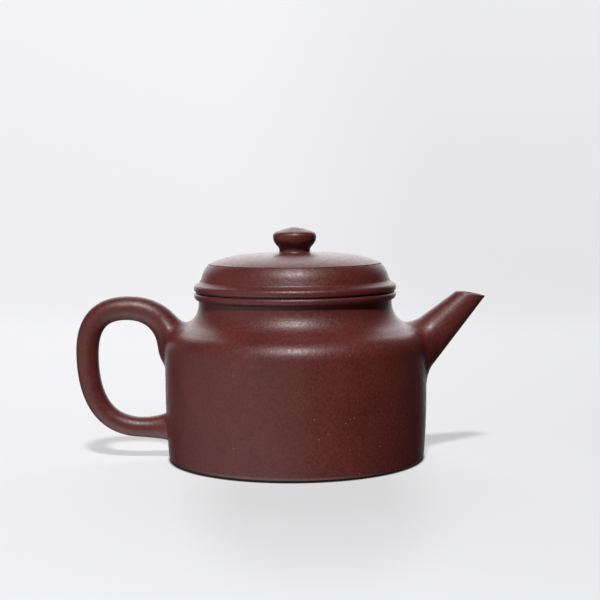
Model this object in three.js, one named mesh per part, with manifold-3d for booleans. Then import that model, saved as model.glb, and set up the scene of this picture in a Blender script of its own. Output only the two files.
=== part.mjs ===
import * as THREE from 'three';
import { mergeVertices } from 'three/addons/utils/BufferGeometryUtils.js';
import Module from 'manifold-3d';

// A small unglazed teapot of purple-brown clay with a straight round body, a short straight spout
// and a ring handle. A potter builds such a pot from slabs, strips and rings that are luted
// together, and each of those clay pieces is one mesh here. The lid lifts off.
// Millimetres, +Z up, spout towards +X and handle towards -X. The pieces are modelled round the
// pot's own axis, and the whole is moved at the end so that the origin is under its box's middle.

// Body and base
const bodyRadius = 45.3;
const wallThickness = 2.8;
const wallHeight = 38.45; // where the straight wall ends and the shoulder begins to round
const footDrawIn = 1; // how far the wall closes in at the foot
const footDrawHeight = 24;
const footRounding = 1.5;
const baseThickness = 3;
const restRingWidth = 6.5; // flat ring under the base that the pot stands on
const recessDepth = 1.2; // the base inside that ring is pressed up by this much
const recessRun = 7; // over this run

// Shoulder and neck
const shoulderWidth = 11.9; // how far the neck stands in from the wall
const shoulderRounding = 7;
const shoulderSlope = 29; // degrees below level
const neckFlare = 8.7; // radius of the hollow curve between neck and shoulder
const neckSeamTurn = 40; // degrees of that curve that belong to the neck strip
const neckStraight = 0.9;
const neckWall = 2.7;

// Mouth bead, whose flat top is the lid's seat
const mouthBeadHeight = 2.7;
const mouthBeadBelly = 1.8; // height of its widest line
const mouthBeadStandOut = 1.55;
const mouthEdgeRounding = 0.9;

// Lid
const lidFlangeDepth = 7;
const lidFlangeClearance = 0.3;
const lidFlangeWall = 2;
const lidFlangeChamfer = 0.6;
const lidLipHeight = 0.45; // the slab's edge that shows under the lid bead
const lidLipStandOut = 0.85;
const lidSlabHeight = 4.1;
const lidSlabStepIn = 0.75; // how far the lid's side stands in from the neck's face
const lidBeadSeam = 0.12;
const lidBeadOverhang = 0.05; // how far the lid bead passes the mouth bead
const lidBeadBelly = 1.5; // height of its widest line above the lip
const lidBeadCrown = 1.1;
const lidSideHeight = 5.7;
const lidSideLean = 18; // degrees off upright
const lidSideRounding = 3.1;
const lidSideTurn = 62; // degrees above level to which the rounding turns, where the disc begins
const lidSideLedge = 2.8; // flat ledge that the top disc lies on
const lidDomeHeight = 3.5;
const lidDomePower = 4; // flat in the middle, falling fast at the edge
const lidDiscThickness = 2.3;

// Knob, a rolled button with a vent hole through it and through the lid
const knobRadius = 7.5;
const knobHeight = 8.85;
const knobBellyHeight = 5.6;
const knobNeckRadius = 5.37;
const knobNeckHeight = 1.1;
const knobFootRadius = 6;
const knobSeatMargin = 0.6;
const ventRadius = 0.9;
const ventFlare = 1; // how much wider the hole is under the lid

// Spout, a tapered tube. Reaches are beyond the wall, drops are below the lid's seat, and rises
// are above the top of the straight wall.
const spoutTipReach = 20.95;
const spoutTipDrop = 2.05;
const spoutHeelReach = 10.65;
const spoutHeelDrop = 0.3;
const spoutMouthWidth = 8.4;
const spoutLip = 1.4;
const spoutWall = 2;
const spoutRootTopReach = -7.3; // its upper line ends inside the body
const spoutRootTopRise = 6;
const spoutRootBottomReach = -1.2;
const spoutRootBottomRise = -11.6;
const spoutRootWidth = 16.4;
const spoutBendShare = 0.62; // share of the tube's length at which its bore turns to the outlet
const spoutBendPull = 0.25; // how long the bore keeps its line past there, as a share of the run before
const spoutFilletTop = 4.4; // how far off the body the root begins to spread
const spoutFilletBottom = 2.3;
const spoutFilletPull = 0.3; // how long the root's curve keeps the tube's and the body's lines
const spoutFootTopRise = 8.7; // the root's footprint on the body
const spoutFootMiddleRise = -1.6;
const spoutFootBottomRise = -16;
const spoutFootWidth = 21.6;

// Strainer, a pierced dome of clay inside the wall where the spout begins
const outletRadius = 3.5;
const outletDrop = 4; // how far its centre is below the top of the straight wall
const outletLip = 0.5; // how far the bore's lower side runs square to the wall
const strainerRadius = 5.8;
const strainerThickness = 1.2;
const strainerSink = 1; // how far the dome's centre is inside the wall's inner face
const strainerHoleRadius = 0.55;
const strainerRows = 3; // rows of holes round the middle one
const strainerRowTurn = 20; // degrees between rows

// Handle, one rolled bar bent into a ring. Its centre line is given by the points where it starts
// inside the body, is highest, is furthest out and runs level again, with a pull towards the next.
const handleRootReach = -3.5;
const handleRootRise = -2.6;
const handleRootTurn = 86; // degrees above level at which the bar leaves the body
const handleRootPull = 11.5;
const handleTopReach = 13.1;
const handleTopRise = 14.1;
const handleTopPull = 9;
const handleSideReach = 27.1;
const handleSideRise = -2.1;
const handleSidePull = 9.6;
const handleBottomReach = 7.7;
const handleBottomRise = -27.55;
const handleBottomPull = 17.2;
const handleEndReach = -3.3;
const handleRootThickness = 12.2;
const handleTopThickness = 8.3;
const handleEndThickness = 6.7;
const handleRootPower = 1.55; // how fast the root's extra thickness dies away
const handleWidthRatio = 1.1; // width across the bar over its thickness
const handleFilletTop = 4.6;
const handleFilletTopPull = 0.35;
const handleFilletBottom = 2.6; // under the upper root the bar runs down the wall and dies out
const handleFilletBottomPull = 0.55;
const handleFilletBottomEndPull = 0.15;
const handleFilletEnd = 7.5;
const handleFilletEndPull = 0.45;
const handleFootTopRise = 9.7;
const handleFootMiddleRise = 2.4;
const handleFootBottomRise = -7.6;
const handleFootWidth = 17;
const handleEndFootTopRise = -22.2;
const handleEndFootBottomRise = -33.5;
const handleEndFootWidth = 13;

// Where clay pieces of turned or curved faces meet, this gap stays between their solids
const seamGap = 0.35;
const feather = 0.3; // thickness to which a smeared root runs out

// Facets
const roundSteps = 48;
const knobSteps = 24;
const spoutSteps = 24;
const handleSteps = 16;
const holeSteps = 6;
const spoutRings = 5; // along the tube
const handleRings = 26; // along the bar
const rootRings = 5; // across the back of a root, which lies on the body

const CLAY_COLOUR = 0x5c3431;

const { cos, sin, tan, sqrt, hypot, PI } = Math;
const rad = THREE.MathUtils.degToRad;
const lerp = THREE.MathUtils.lerp;
const wasm = await Module();
wasm.setup();

// Sizes that follow from the driving dimensions
const innerRadius = bodyRadius - wallThickness;
const neckRadius = bodyRadius - shoulderWidth;
const mouthRadius = neckRadius - neckWall;
const shoulderTurn = rad(90 - shoulderSlope);
const roundingCentre = bodyRadius - shoulderRounding;
const roundingEnd = {
  r: roundingCentre + shoulderRounding * cos(shoulderTurn),
  z: wallHeight + shoulderRounding * sin(shoulderTurn),
};
const flareCentre = neckRadius + neckFlare;
const flareEndRadius = flareCentre - neckFlare * cos(shoulderTurn);
const flareEndHeight = roundingEnd.z + (roundingEnd.r - flareEndRadius) * tan(rad(shoulderSlope));
const flareTop = flareEndHeight + neckFlare * sin(shoulderTurn);
const neckSeam = {
  r: flareCentre - neckFlare * cos(rad(neckSeamTurn)),
  z: flareTop - neckFlare * sin(rad(neckSeamTurn)),
};
const neckTop = flareTop + neckStraight;
const seat = neckTop + mouthBeadHeight;
const mouthBeadRadius = neckRadius + mouthBeadStandOut;
const flangeRadius = mouthRadius - lidFlangeClearance;
const flangeInner = flangeRadius - lidFlangeWall;
const slabTop = seat + lidSlabHeight;
const slabRadius = neckRadius - lidSlabStepIn;
const lidLipTop = seat + lidLipHeight;
const ledge = slabTop + lidSideHeight;
const knobSeatRadius = knobFootRadius + knobSeatMargin;

// Outlines are lists of points, each a distance from the axis and a height
const at = (r, z) => new THREE.Vector2(r, z);

// Points along part of an ellipse, angles in degrees, anticlockwise from outwards
function arc(r, z, radiusR, radiusZ, from, to, steps) {
  return Array.from({ length: steps + 1 }, (_, i) => {
    const angle = rad(lerp(from, to, i / steps));
    return at(r + radiusR * cos(angle), z + radiusZ * sin(angle));
  });
}

function bend(start, control, end, steps) {
  return new THREE.QuadraticBezierCurve(start, control, end).getPoints(steps);
}

// Merge shared vertices, drop flat triangles and turn the faces outwards
function closeSurface(geometry) {
  geometry.deleteAttribute('normal');
  geometry.deleteAttribute('uv');
  const merged = mergeVertices(geometry, 1e-4);
  const corners = merged.index.array;
  const position = merged.attributes.position;
  const kept = [];
  const [a, b, c] = [new THREE.Vector3(), new THREE.Vector3(), new THREE.Vector3()];
  let volume = 0;
  for (let i = 0; i < corners.length; i += 3) {
    const [p, q, r] = [corners[i], corners[i + 1], corners[i + 2]];
    if (p === q || q === r || r === p) continue;
    kept.push(p, q, r);
    a.fromBufferAttribute(position, p);
    b.fromBufferAttribute(position, q);
    c.fromBufferAttribute(position, r);
    volume += a.dot(b.cross(c));
  }
  merged.setIndex(volume < 0 ? kept.reverse() : kept);
  return merged;
}

// Turn a closed outline round the pot's axis
function revolve(outline, steps = roundSteps) {
  const closed = outline[0].x === 0 ? outline : [...outline, outline[0]];
  const geometry = new THREE.LatheGeometry(closed, steps);
  geometry.rotateX(PI / 2);
  return closeSurface(geometry);
}

// Skin a row of rings of points. A ring of one point closes an end.
function skin(rings) {
  const points = rings.flat();
  const index = [];
  let start = 0;
  for (let k = 0; k + 1 < rings.length; k += 1) {
    const [near, far] = [rings[k].length, rings[k + 1].length];
    const next = start + near;
    const count = Math.max(near, far);
    for (let i = 0; i < count; i += 1) {
      const j = (i + 1) % count;
      if (near > 1) index.push(start + i, start + j, next + (far > 1 ? i : 0));
      if (far > 1) index.push(start + (near > 1 ? j : 0), next + j, next + i);
    }
    start = next;
  }
  const geometry = new THREE.BufferGeometry().setFromPoints(points);
  geometry.setIndex(index);
  return closeSurface(geometry);
}

function toSolid(geometry) {
  return new wasm.Manifold(new wasm.Mesh({
    numProp: 3,
    vertProperties: new Float32Array(geometry.attributes.position.array),
    triVerts: new Uint32Array(geometry.index.array),
  }));
}

function fromSolid(solid) {
  const mesh = solid.getMesh();
  const geometry = new THREE.BufferGeometry();
  geometry.setAttribute('position', new THREE.BufferAttribute(mesh.vertProperties, mesh.numProp));
  geometry.setIndex(new THREE.BufferAttribute(mesh.triVerts, 1));
  return geometry;
}

// The pot's outer face: its radius at a height, and the tilt of its normal above level
function bodyRadiusAt(z) {
  if (z < footDrawHeight) return bodyRadius - footDrawIn * (1 - z / footDrawHeight) ** 2;
  if (z < wallHeight) return bodyRadius;
  if (z < roundingEnd.z) return roundingCentre + sqrt(shoulderRounding ** 2 - (z - wallHeight) ** 2);
  if (z < flareEndHeight) return roundingEnd.r - (z - roundingEnd.z) / tan(rad(shoulderSlope));
  if (z < flareTop) return flareCentre - sqrt(neckFlare ** 2 - (flareTop - z) ** 2);
  return neckRadius;
}

function bodyTiltAt(z) {
  const step = 0.01;
  return Math.atan2(bodyRadiusAt(z - step) - bodyRadiusAt(z + step), 2 * step);
}

// A point on that face, given by its height and its distance to one side, lifted off it
function bodyPoint(side, y, z, lift) {
  const tilt = bodyTiltAt(z);
  const r = bodyRadiusAt(z) + lift * cos(tilt);
  return new THREE.Vector3(side * sqrt(r * r - y * y), y, z + lift * sin(tilt));
}

const bodyOutline = Array.from({ length: 120 }, (_, i) => {
  const z = (neckTop * i) / 119;
  return at(bodyRadiusAt(z), z);
});

// How far a point is outside that face, negative inside
function bodyDistance(point) {
  const r = hypot(point.x, point.y);
  const nearest = Math.min(...bodyOutline.map((p) => hypot(p.x - r, p.y - point.z)));
  return r > bodyRadiusAt(point.z) ? nearest : -nearest;
}

// The value between two ends, the first outside the body, at which a rail is that far from it
function leaveAt(rail, outside, inside, distance) {
  let [near, far] = [outside, inside];
  for (let i = 0; i < 24; i += 1) {
    const middle = (near + far) / 2;
    if (bodyDistance(rail(middle)) > distance) near = middle;
    else far = middle;
  }
  return near;
}

// A root's footprint on the body is an egg shape: scale 1 is its edge and 0 its middle
function footprint(side, top, middle, bottom, width) {
  return (angle, scale, lift) => {
    const rise = sin(angle) > 0 ? top - middle : middle - bottom;
    const y = (width / 2) * cos(angle) * scale;
    return bodyPoint(side, y, wallHeight + middle + rise * sin(angle) * scale, lift);
  };
}

// One smeared fillet line, from the end of a rail to the edge of the footprint
function filletLine(rail, end, before, foot, angle, lift, pulls, steps) {
  const start = rail(end);
  const along = start.clone().sub(rail(before)).normalize();
  const edge = foot(angle, 1, lift);
  const inwards = foot(angle, 0.95, lift).sub(edge).normalize();
  const span = start.distanceTo(edge);
  return new THREE.CubicBezierCurve3(
    start,
    start.clone().addScaledVector(along, pulls.tube * span),
    edge.clone().addScaledVector(inwards, pulls.body * span),
    edge,
  ).getPoints(steps).slice(1);
}

// Angles round a tube, from its near side (-Y) up over its top
const anglesRound = (steps) => Array.from({ length: steps }, (_, i) => (2 * PI * i) / steps);

// The rings across a root's back, from its edge inwards
const rootShares = Array.from({ length: rootRings }, (_, i) => 1 - i / rootRings);

// Swap a list of lines for the list of rings across them
const across = (lines) => lines[0].map((_, k) => lines.map((line) => line[k]));

function baseSlab() {
  const foot = bodyRadiusAt(footRounding) - footRounding;
  const ringInner = foot - restRingWidth;
  const top = baseThickness;
  const recess = (z) => bend(
    at(ringInner, z), at(ringInner - recessRun, z + recessDepth), at(0, z + recessDepth), 3);
  return revolve([
    ...recess(0).reverse(),
    ...arc(foot, footRounding, footRounding, footRounding, -90, 0, 3),
    at(bodyRadiusAt(top), top),
    ...recess(top),
  ]);
}

function bodyWall() {
  const drawSteps = 4;
  const foot = Array.from({ length: drawSteps + 1 }, (_, i) => {
    const z = lerp(baseThickness, footDrawHeight, i / drawSteps);
    return at(bodyRadiusAt(z), z);
  });
  const wall = toSolid(revolve([
    at(innerRadius, baseThickness),
    ...foot,
    at(bodyRadius, wallHeight),
    at(innerRadius, wallHeight),
  ]));
  return fromSolid(wall.subtract(toSolid(outletCutter())));
}

// The round hole in the wall behind the spout
function outletCutter() {
  const cutter = new THREE.CylinderGeometry(outletRadius, outletRadius, 4 * wallThickness, spoutSteps);
  cutter.rotateZ(PI / 2);
  cutter.translate(innerRadius, 0, wallHeight - outletDrop);
  return closeSurface(cutter);
}

function shoulderSlab() {
  const innerRounding = shoulderRounding - wallThickness;
  const turn = 90 - shoulderSlope;
  const innerEnd = at(
    roundingCentre + innerRounding * cos(shoulderTurn),
    wallHeight + innerRounding * sin(shoulderTurn));
  const ceiling = innerEnd.y + (innerEnd.x - mouthRadius) * tan(rad(shoulderSlope));
  return revolve([
    ...arc(roundingCentre, wallHeight, shoulderRounding, shoulderRounding, 0, turn, 6),
    ...arc(flareCentre, flareTop, neckFlare, neckFlare, 180 + turn, 180 + neckSeamTurn, 2),
    at(mouthRadius, neckSeam.z),
    at(mouthRadius, ceiling),
    ...arc(roundingCentre, wallHeight, innerRounding, innerRounding, turn, 0, 3),
  ]);
}

function neckBand() {
  return revolve([
    at(mouthRadius, neckSeam.z),
    ...arc(flareCentre, flareTop, neckFlare, neckFlare, 180 + neckSeamTurn, 180, 4),
    at(neckRadius, neckTop),
    at(mouthRadius, neckTop),
  ]);
}

function mouthBead() {
  const belly = neckTop + mouthBeadBelly;
  const crown = seat - belly;
  return revolve([
    at(mouthRadius, neckTop),
    ...arc(neckRadius, belly, mouthBeadStandOut, mouthBeadBelly, -90, 0, 4),
    ...arc(mouthBeadRadius - mouthEdgeRounding, belly, mouthEdgeRounding, crown, 0, 90, 3).slice(1),
    at(mouthRadius, seat),
  ]);
}

function strainerDome() {
  const centre = new THREE.Vector3(innerRadius - strainerSink, 0, wallHeight - outletDrop);
  const ball = (radius, columns, rows) => {
    const sphere = closeSurface(new THREE.SphereGeometry(radius, columns, rows));
    return toSolid(sphere.translate(centre.x, centre.y, centre.z));
  };
  const clearInner = innerRadius - seamGap;
  const clearRounding = clearInner - roundingCentre;
  const inside = toSolid(revolve([
    at(0, baseThickness),
    at(clearInner, baseThickness),
    ...arc(roundingCentre, wallHeight, clearRounding, clearRounding, 0, 90, 4),
    at(0, wallHeight + clearRounding),
  ]));
  const holes = strainerHoleDirections().map((direction) => {
    const pin = new THREE.CylinderGeometry(
      strainerHoleRadius, strainerHoleRadius, 3 * strainerThickness, holeSteps);
    pin.translate(0, strainerRadius, 0);
    const turn = new THREE.Quaternion().setFromUnitVectors(new THREE.Vector3(0, 1, 0), direction);
    pin.applyQuaternion(turn);
    pin.translate(centre.x, centre.y, centre.z);
    return toSolid(closeSurface(pin));
  });
  const shell = ball(strainerRadius, 20, 12).subtract(ball(strainerRadius - strainerThickness, 16, 10));
  return fromSolid(shell.intersect(inside).subtract(wasm.Manifold.union(holes)));
}

// One hole in the middle of the dome, then rings of six more holes each time
function strainerHoleDirections() {
  const directions = [new THREE.Vector3(-1, 0, 0)];
  for (let row = 1; row <= strainerRows; row += 1) {
    const tilt = rad(strainerRowTurn * row);
    const count = 6 * row;
    for (let i = 0; i < count; i += 1) {
      const round = (2 * PI * (i + 0.5 * (row % 2))) / count;
      directions.push(new THREE.Vector3(-cos(tilt), sin(tilt) * cos(round), sin(tilt) * sin(round)));
    }
  }
  return directions;
}

// A ring of points on an ellipse through two points of the side view, the upper one first
function sideRing(top, bottom, width) {
  const middle = top.clone().add(bottom).multiplyScalar(0.5);
  const up = top.clone().sub(middle);
  return (angle) => new THREE.Vector3(
    middle.x + up.x * sin(angle), (width / 2) * cos(angle), middle.y + up.y * sin(angle));
}

// A point of the side view, from its reach beyond the wall and its rise above the wall's top
const beyondWall = (reach, rise) => at(bodyRadius + reach, wallHeight + rise);

function spout() {
  const heel = at(bodyRadius + spoutHeelReach, seat - spoutHeelDrop);
  const tip = at(bodyRadius + spoutTipReach, seat - spoutTipDrop);
  const rootTop = beyondWall(spoutRootTopReach, spoutRootTopRise);
  const rootBottom = beyondWall(spoutRootBottomReach, spoutRootBottomRise);
  const mouthRing = sideRing(heel, tip, spoutMouthWidth);
  const rootRing = sideRing(rootTop, rootBottom, spoutRootWidth);
  const foot = footprint(
    1, spoutFootTopRise, spoutFootMiddleRise, spoutFootBottomRise, spoutFootWidth);
  const pulls = { tube: spoutFilletPull, body: spoutFilletPull };
  const angles = anglesRound(spoutSteps);

  const outerLines = angles.map((angle) => {
    const rail = (t) => mouthRing(angle).lerp(rootRing(angle), t);
    const fillet = lerp(spoutFilletBottom, spoutFilletTop, (1 + sin(angle)) / 2);
    const end = leaveAt(rail, 0, 1, fillet);
    const straight = Array.from({ length: spoutRings + 1 }, (_, k) => rail((end * k) / spoutRings));
    const line = filletLine(rail, end, end - 0.01, foot, angle, seamGap + feather, pulls, 7);
    return [...straight, ...line];
  });

  // The bore follows the tube, then turns down to the round hole in the wall
  const shorten = (a, b, by) => a.clone().lerp(b, by / a.distanceTo(b));
  const boreMouth = sideRing(
    shorten(heel, tip, spoutLip), shorten(tip, heel, spoutLip), spoutMouthWidth - 2 * spoutLip);
  const bendTop = heel.clone().lerp(rootTop, spoutBendShare);
  const bendBottom = tip.clone().lerp(rootBottom, spoutBendShare);
  const bendRing = sideRing(
    shorten(bendTop, bendBottom, spoutWall), shorten(bendBottom, bendTop, spoutWall),
    lerp(spoutMouthWidth, spoutRootWidth, spoutBendShare) - 2 * spoutWall);
  const outlet = (angle, lift) => bodyPoint(
    1, outletRadius * cos(angle), wallHeight - outletDrop + outletRadius * sin(angle), lift);
  const boreLines = angles.map((angle) => {
    const [mouth, corner, end] = [boreMouth(angle), bendRing(angle), outlet(angle, seamGap)];
    const straight = [0, 1, 2].map((k) => mouth.clone().lerp(corner, k / 3));
    const square = end.clone().setX(end.x + lerp(outletLip, outletRadius, (1 + sin(angle)) / 2));
    const middle = corner.clone().lerp(mouth, -spoutBendPull);
    return [...straight, ...new THREE.CubicBezierCurve3(corner, middle, square, end).getPoints(5)];
  });

  const rootFace = rootShares.map((share) => angles.map((angle) => {
    const edge = foot(angle, 1, seamGap);
    const hole = outlet(angle, seamGap);
    return bodyPoint(1, lerp(hole.y, edge.y, share), lerp(hole.z, edge.z, share), seamGap);
  }));
  const outer = across(outerLines);
  const bore = across(boreLines).reverse();
  return skin([...outer, ...rootFace, ...bore, outer[0]]);
}

// The bar's centre line in the side view, as distance from the axis and height
function handlePath() {
  const root = beyondWall(handleRootReach, handleRootRise);
  const top = beyondWall(handleTopReach, handleTopRise);
  const outer = beyondWall(handleSideReach, handleSideRise);
  const bottom = beyondWall(handleBottomReach, handleBottomRise);
  const end = beyondWall(handleEndReach, handleBottomRise);
  const leave = rad(handleRootTurn);
  const path = new THREE.CurvePath();
  path.add(new THREE.CubicBezierCurve(
    root, at(root.x + handleRootPull * cos(leave), root.y + handleRootPull * sin(leave)),
    at(top.x - handleTopPull, top.y), top));
  path.add(new THREE.CubicBezierCurve(
    top, at(top.x + handleSidePull, top.y), at(outer.x, outer.y + handleSidePull), outer));
  path.add(new THREE.CubicBezierCurve(
    outer, at(outer.x, outer.y - handleSidePull), at(bottom.x + handleBottomPull, bottom.y), bottom));
  path.add(new THREE.LineCurve(bottom, end));
  return path;
}

function handle() {
  const path = handlePath();
  const lengths = path.getCurveLengths();
  const topShare = lengths[0] / lengths[3];
  const swell = handleRootThickness - handleTopThickness;
  const thickness = (u) => (u < topShare
    ? handleTopThickness + swell * (1 - u / topShare) ** handleRootPower
    : lerp(handleTopThickness, handleEndThickness, (u - topShare) / (1 - topShare)));
  const barPoint = (u, angle) => {
    const centre = path.getPointAt(u);
    const along = path.getTangentAt(u);
    const half = thickness(u) / 2;
    const [out, wide] = [half * sin(angle), half * handleWidthRatio * cos(angle)];
    return new THREE.Vector3(-(centre.x - along.y * out), wide, centre.y + along.x * out);
  };

  const upperFoot = footprint(
    -1, handleFootTopRise, handleFootMiddleRise, handleFootBottomRise, handleFootWidth);
  const lowerFoot = footprint(
    -1, handleEndFootTopRise, handleBottomRise, handleEndFootBottomRise, handleEndFootWidth);
  const lift = seamGap + feather;
  const endPulls = { tube: handleFilletEndPull, body: handleFilletEndPull };
  const middle = (topShare + 1) / 2;

  // The bar's outer side is its upper side at the upper root and its lower side at the lower one
  const lines = anglesRound(handleSteps).map((angle) => {
    const rail = (u) => barPoint(u, angle);
    const share = (1 + sin(angle)) / 2;
    const start = leaveAt(rail, middle, 0, lerp(handleFilletBottom, handleFilletTop, share));
    const end = leaveAt(rail, middle, 1, handleFilletEnd);
    const pulls = {
      tube: lerp(handleFilletBottomPull, handleFilletTopPull, share),
      body: lerp(handleFilletBottomEndPull, handleFilletTopPull, share),
    };
    const upper = filletLine(rail, start, start + 0.002, upperFoot, angle, lift, pulls, 6);
    const lower = filletLine(rail, end, end - 0.002, lowerFoot, -angle, lift, endPulls, 4);
    const bar = Array.from(
      { length: handleRings + 1 }, (_, k) => rail(lerp(start, end, k / handleRings)));
    return [...upper.reverse(), ...bar, ...lower];
  });
  const face = (foot, turn) => rootShares.map((scale) => anglesRound(handleSteps).map(
    (angle) => foot(turn * angle, scale, seamGap)));
  return skin([
    [upperFoot(0, 0, seamGap)],
    ...face(upperFoot, 1).reverse(),
    ...across(lines),
    ...face(lowerFoot, -1),
    [lowerFoot(0, 0, seamGap)],
  ]);
}

function lidFlange() {
  const bottom = seat - lidFlangeDepth;
  return revolve([
    at(flangeInner, bottom),
    at(flangeRadius - lidFlangeChamfer, bottom),
    at(flangeRadius, bottom + lidFlangeChamfer),
    at(flangeRadius, seat),
    at(flangeInner, seat),
  ]);
}

function lidSlabRing() {
  const lip = neckRadius + lidLipStandOut;
  return revolve([
    at(flangeInner, seat),
    at(lip, seat),
    at(lip, lidLipTop),
    at(slabRadius, lidLipTop),
    at(slabRadius, slabTop),
    at(flangeInner, slabTop),
  ]);
}

function lidBead() {
  const inner = slabRadius + lidBeadSeam;
  const centre = mouthBeadRadius + lidBeadOverhang - lidBeadCrown;
  const belly = lidLipTop + lidBeadBelly;
  const crown = arc(centre, belly, lidBeadCrown, lidBeadCrown, 0, 55, 3).slice(1);
  const shoulder = crown[crown.length - 1];
  return revolve([
    at(inner, lidLipTop),
    ...arc(centre, belly, lidBeadCrown, lidBeadBelly, -90, 0, 4),
    ...crown,
    ...bend(shoulder, at(lerp(shoulder.x, inner, 0.45), lerp(shoulder.y, slabTop, 0.42)),
      at(inner, slabTop), 2).slice(1),
  ]);
}

// The lid's side leans in and rounds over to a level ledge
const sideCentre = (() => {
  const lean = rad(lidSideLean);
  const z = ledge - lidSideRounding * sin(rad(lidSideTurn));
  return at(slabRadius - (lidSideRounding + (z - slabTop) * sin(lean)) / cos(lean), z);
})();
const discRadius = sideCentre.x + lidSideRounding * cos(rad(lidSideTurn));

function lidShoulderRing() {
  return revolve([
    at(flangeInner, slabTop),
    at(slabRadius, slabTop),
    ...arc(sideCentre.x, sideCentre.y, lidSideRounding, lidSideRounding, lidSideLean, lidSideTurn, 5),
    at(discRadius - lidSideLedge, ledge),
  ]);
}

// Height of the lid's dome above its ledge, for a dome of that radius and rise
const domeRise = (r, radius, rise) => rise * (1 - (r / radius) ** lidDomePower);

function lidTopDisc() {
  const radius = discRadius;
  const hollow = radius - lidSideLedge;
  const hollowRise = lidDomeHeight - lidDiscThickness;
  const dome = [1, 0.96, 0.91, 0.84, 0.74, 0.55, knobSeatRadius / radius].map(
    (share) => at(radius * share, ledge + domeRise(radius * share, radius, lidDomeHeight)));
  const under = [0.5, 0.85, 1].map(
    (share) => at(hollow * share, ledge + domeRise(hollow * share, hollow, hollowRise)));
  return revolve([
    ...dome,
    at(ventRadius, dome[dome.length - 1].y),
    at(ventRadius + ventFlare, under[0].y),
    ...under,
  ]);
}

const knobSeat = ledge + domeRise(knobSeatRadius, discRadius, lidDomeHeight);

function knob() {
  const place = (r, height) => at(r, knobSeat + height);
  const crownStart = place(0.57 * knobRadius, lerp(knobBellyHeight, knobHeight, 0.754));
  const belly = place(knobRadius, knobBellyHeight);
  const neck = place(knobNeckRadius, knobNeckHeight);
  const cove = new THREE.CubicBezierCurve(
    neck, at(knobNeckRadius, lerp(neck.y, belly.y, 0.21)),
    at(knobRadius, lerp(neck.y, belly.y, 0.5)), belly);
  const edge = new THREE.CubicBezierCurve(
    belly, at(knobRadius, lerp(belly.y, crownStart.y, 0.7)),
    at(lerp(knobRadius, crownStart.x, 0.34), lerp(belly.y, crownStart.y, 0.72)), crownStart);
  const top = place(ventRadius, knobHeight);
  const crown = at(lerp(crownStart.x, top.x, 0.5), lerp(crownStart.y, top.y, 0.78));
  return revolve([
    place(ventRadius, 0),
    ...bend(place(knobFootRadius, 0), at(knobNeckRadius, knobSeat), neck, 2),
    ...cove.getPoints(6).slice(1),
    ...edge.getPoints(5).slice(1),
    ...bend(crownStart, crown, top, 3).slice(1),
  ], knobSteps);
}

function piece(name, geometry) {
  const clay = new THREE.MeshStandardMaterial({ color: CLAY_COLOUR, roughness: 0.45, metalness: 0 });
  const mesh = new THREE.Mesh(geometry, clay);
  mesh.name = name;
  return mesh;
}

const pot = new THREE.Group();
pot.add(
  piece('base_slab', baseSlab()),
  piece('body_wall', bodyWall()),
  piece('shoulder_slab', shoulderSlab()),
  piece('neck_band', neckBand()),
  piece('mouth_bead', mouthBead()),
  piece('strainer_dome', strainerDome()),
  piece('spout', spout()),
  piece('handle', handle()),
);

const lid = new THREE.Group();
lid.add(
  piece('lid_flange', lidFlange()),
  piece('lid_slab_ring', lidSlabRing()),
  piece('lid_bead', lidBead()),
  piece('lid_shoulder_ring', lidShoulderRing()),
  piece('lid_top_disc', lidTopDisc()),
  piece('knob', knob()),
);

const teapot = new THREE.Group();
teapot.add(pot, lid);
const reach = new THREE.Box3().setFromObject(teapot);
teapot.position.x = -(reach.min.x + reach.max.x) / 2;

export default teapot;
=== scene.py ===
from bisect import bisect_left
from math import atan2, cos, hypot, pi, radians, sin, sqrt, tan

import bmesh
import bpy
from mathutils import Matrix, Vector


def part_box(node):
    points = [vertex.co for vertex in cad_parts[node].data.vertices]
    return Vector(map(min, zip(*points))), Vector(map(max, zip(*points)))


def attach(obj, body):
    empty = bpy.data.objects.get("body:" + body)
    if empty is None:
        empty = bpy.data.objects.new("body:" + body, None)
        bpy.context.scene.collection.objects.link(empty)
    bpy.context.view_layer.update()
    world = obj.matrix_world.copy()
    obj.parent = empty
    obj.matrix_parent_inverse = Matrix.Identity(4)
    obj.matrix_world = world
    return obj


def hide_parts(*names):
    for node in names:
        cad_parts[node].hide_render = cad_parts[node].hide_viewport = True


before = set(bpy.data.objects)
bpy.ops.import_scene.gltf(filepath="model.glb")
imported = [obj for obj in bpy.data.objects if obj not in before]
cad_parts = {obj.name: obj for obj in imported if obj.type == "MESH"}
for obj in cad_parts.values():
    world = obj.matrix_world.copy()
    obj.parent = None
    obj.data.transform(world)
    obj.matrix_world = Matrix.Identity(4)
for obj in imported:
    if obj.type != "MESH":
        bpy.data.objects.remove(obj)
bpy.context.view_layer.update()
mm = 0.001

# Camera
# The pot is seen from its side and a little from above, through a long lens about half a metre
# away. The picture leans by half a degree, as a camera held by hand does.
wall_low, wall_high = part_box("body_wall")
axis_x = (wall_low.x + wall_high.x) / 2
camera_place = Vector((axis_x, -467.36 * mm, 93.37 * mm))
camera_dip = radians(4.72)
camera_turn = radians(0.206)
camera_lean = radians(-0.54)
camera_data = bpy.data.cameras.new("side_camera")
camera_data.sensor_width = 36
camera_data.lens = 81.1
camera_data.clip_start = 10 * mm


def add_object(name, data):
    """Puts something in the scene at the shared origin."""
    thing = bpy.data.objects.new(name, data)
    bpy.context.scene.collection.objects.link(thing)
    return thing


camera = add_object("side_camera", camera_data)
camera.matrix_world = (
    Matrix.Translation(camera_place)
    @ Matrix.Rotation(-camera_turn, 4, "Z")
    @ Matrix.Rotation(pi / 2 - camera_dip, 4, "X")
    @ Matrix.Rotation(camera_lean, 4, "Z")
)
bpy.context.scene.camera = camera

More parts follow.
